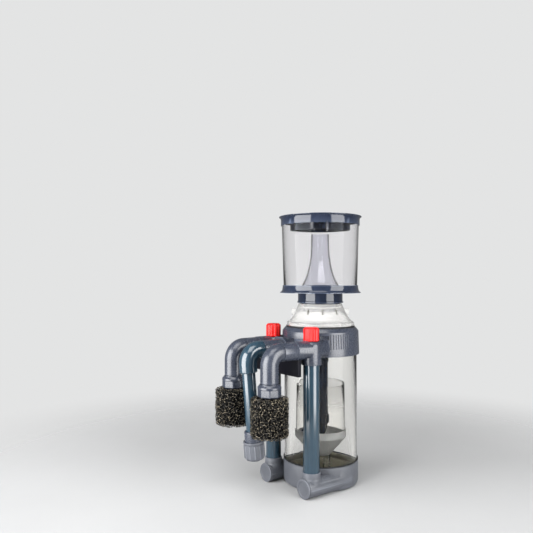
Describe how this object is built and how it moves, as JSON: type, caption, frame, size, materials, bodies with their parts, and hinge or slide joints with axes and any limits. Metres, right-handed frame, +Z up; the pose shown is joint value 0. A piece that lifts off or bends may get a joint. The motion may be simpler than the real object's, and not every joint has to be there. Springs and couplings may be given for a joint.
{
  "type": "protein skimmer",
  "caption": "Hang-on protein skimmer: clear column with an inner cyclone, collection cup on a turn-lock neck, valved return lines and a feed line over the tank wall.",
  "frame": {"origin": "centre of the base's flat underside, on the column's axis", "axes": "+Z up the column's axis; -X towards the tank wall and the three arms; -Y the front return line, +Y the rear one"},
  "size_m": [0.2404, 0.152, 0.4386],
  "materials": {
    "grey_pvc": "semi-gloss moulded, slight orange peel",
    "matte_grey_pvc": "matte moulded",
    "clear_acrylic": "clear polished",
    "frosted_acrylic": "translucent, slightly frosted",
    "smoked_acrylic": "translucent grey",
    "black_plastic": "satin black",
    "red_plastic": "satin moulded",
    "seal_rubber": "matte",
    "filter_foam": "open-cell reticulated foam"
  },
  "bodies": {
    "skimmer": {"base_cup": "matte_grey_pvc", "base_seal": "seal_rubber", "foot_cap_front": "matte_grey_pvc", "foot_cap_rear": "matte_grey_pvc", "body_tube": "clear_acrylic", "cyclone_cylinder": "clear_acrylic", "cyclone_cone": "smoked_acrylic", "cone_stand": "smoked_acrylic", "downpipe": "grey_pvc", "feed_elbow": "grey_pvc", "jet_elbow": "grey_pvc", "head": "grey_pvc", "tee_front": "grey_pvc", "tee_rear": "grey_pvc", "leg_front": "matte_grey_pvc", "leg_rear": "matte_grey_pvc", "hanger_plate": "black_plastic", "riser_front": "grey_pvc", "riser_rear": "grey_pvc", "arm_front": "grey_pvc", "arm_rear": "grey_pvc", "feed_arm": "grey_pvc", "neck_seal": "seal_rubber"},
    "neck": {"neck_cone": "frosted_acrylic"},
    "cup": {"cup_floor": "grey_pvc", "cup_oring": "seal_rubber", "cup_wall": "clear_acrylic", "foam_riser": "clear_acrylic"},
    "lid": {"cup_lid": "grey_pvc"},
    "feed_drop": {"feed_drop_elbow": "grey_pvc", "feed_pipe": "grey_pvc", "union_socket": "grey_pvc"},
    "feed_tail": {"union_tail": "grey_pvc"},
    "feed_union": {"union_nut": "grey_pvc"},
    "valve_front": {"knob_front": "red_plastic", "valve_plug_front": "black_plastic"},
    "drop_front": {"elbow_front": "grey_pvc"},
    "strainer_front": {"strainer_core_front": "black_plastic"},
    "nut_front": {"outlet_nut_front": "grey_pvc"},
    "sponge_front": {"sponge_front": "filter_foam"},
    "valve_rear": {"knob_rear": "red_plastic", "valve_plug_rear": "black_plastic"},
    "drop_rear": {"elbow_rear": "grey_pvc"},
    "strainer_rear": {"strainer_core_rear": "black_plastic"},
    "nut_rear": {"outlet_nut_rear": "grey_pvc"},
    "sponge_rear": {"sponge_rear": "filter_foam"}
  },
  "joints": [
    {"name": "neck_turn", "type": "hinge", "parent": "skimmer", "child": "neck", "pos_m": [0, 0, 0.2612], "axis": [0, 0, 1], "range_deg": [0, 30]},
    {"name": "cup_lift", "type": "slide", "parent": "neck", "child": "cup", "axis": [0, 0, 1], "range_m": [0, 0.05]},
    {"name": "lid_lift", "type": "slide", "parent": "cup", "child": "lid", "axis": [0, 0, 1], "range_m": [0, 0.05]},
    {"name": "knob_turn_front", "type": "hinge", "parent": "skimmer", "child": "valve_front", "pos_m": [-0.0622, -0.0477, 0.25], "axis": [0, 0, 1], "range_deg": [0, 90]},
    {"name": "outlet_swing_front", "type": "hinge", "parent": "skimmer", "child": "drop_front", "pos_m": [-0.1233, -0.0477, 0.2256], "axis": [-1, 0, 0], "range_deg": [0, 60]},
    {"name": "strainer_drop_front", "type": "slide", "parent": "drop_front", "child": "strainer_front", "axis": [0, 0, -1], "range_m": [0, 0.0091]},
    {"name": "nut_turn_front", "type": "hinge", "parent": "strainer_front", "child": "nut_front", "pos_m": [-0.143, -0.0477, 0.172], "axis": [0, 0, -1], "range_deg": [0, 1080]},
    {"name": "sponge_pull_front", "type": "slide", "parent": "strainer_front", "child": "sponge_front", "axis": [0, 0, -1], "range_m": [0, 0.06]},
    {"name": "knob_turn_rear", "type": "hinge", "parent": "skimmer", "child": "valve_rear", "pos_m": [-0.0622, 0.0477, 0.25], "axis": [0, 0, 1], "range_deg": [0, 90]},
    {"name": "outlet_swing_rear", "type": "hinge", "parent": "skimmer", "child": "drop_rear", "pos_m": [-0.1233, 0.0477, 0.2256], "axis": [1, 0, 0], "range_deg": [0, 60]},
    {"name": "strainer_drop_rear", "type": "slide", "parent": "drop_rear", "child": "strainer_rear", "axis": [0, 0, -1], "range_m": [0, 0.0091]},
    {"name": "nut_turn_rear", "type": "hinge", "parent": "strainer_rear", "child": "nut_rear", "pos_m": [-0.143, 0.0477, 0.172], "axis": [0, 0, -1], "range_deg": [0, 1080]},
    {"name": "sponge_pull_rear", "type": "slide", "parent": "strainer_rear", "child": "sponge_rear", "axis": [0, 0, -1], "range_m": [0, 0.06]},
    {"name": "feed_swing", "type": "hinge", "parent": "skimmer", "child": "feed_drop", "pos_m": [-0.1233, 0, 0.2256], "axis": [1, 0, 0], "range_deg": [-3.6, 4.2]},
    {"name": "tail_drop", "type": "slide", "parent": "feed_drop", "child": "feed_tail", "axis": [0.0837, -0.0087, -0.9965], "range_m": [0, 0.0141]},
    {"name": "union_turn", "type": "hinge", "parent": "feed_tail", "child": "feed_union", "pos_m": [-0.14959, 0, 0.22553], "axis": [0.0837, -0.0087, -0.9965], "range_deg": [0, 1440]}
  ],
  "couplings": [
    {"joint": "strainer_drop_front", "follows": "nut_turn_front", "m_per_rad": 0.00047746},
    {"joint": "strainer_drop_rear", "follows": "nut_turn_rear", "m_per_rad": 0.00047746},
    {"joint": "tail_drop", "follows": "union_turn", "m_per_rad": 0.00055704}
  ]
}
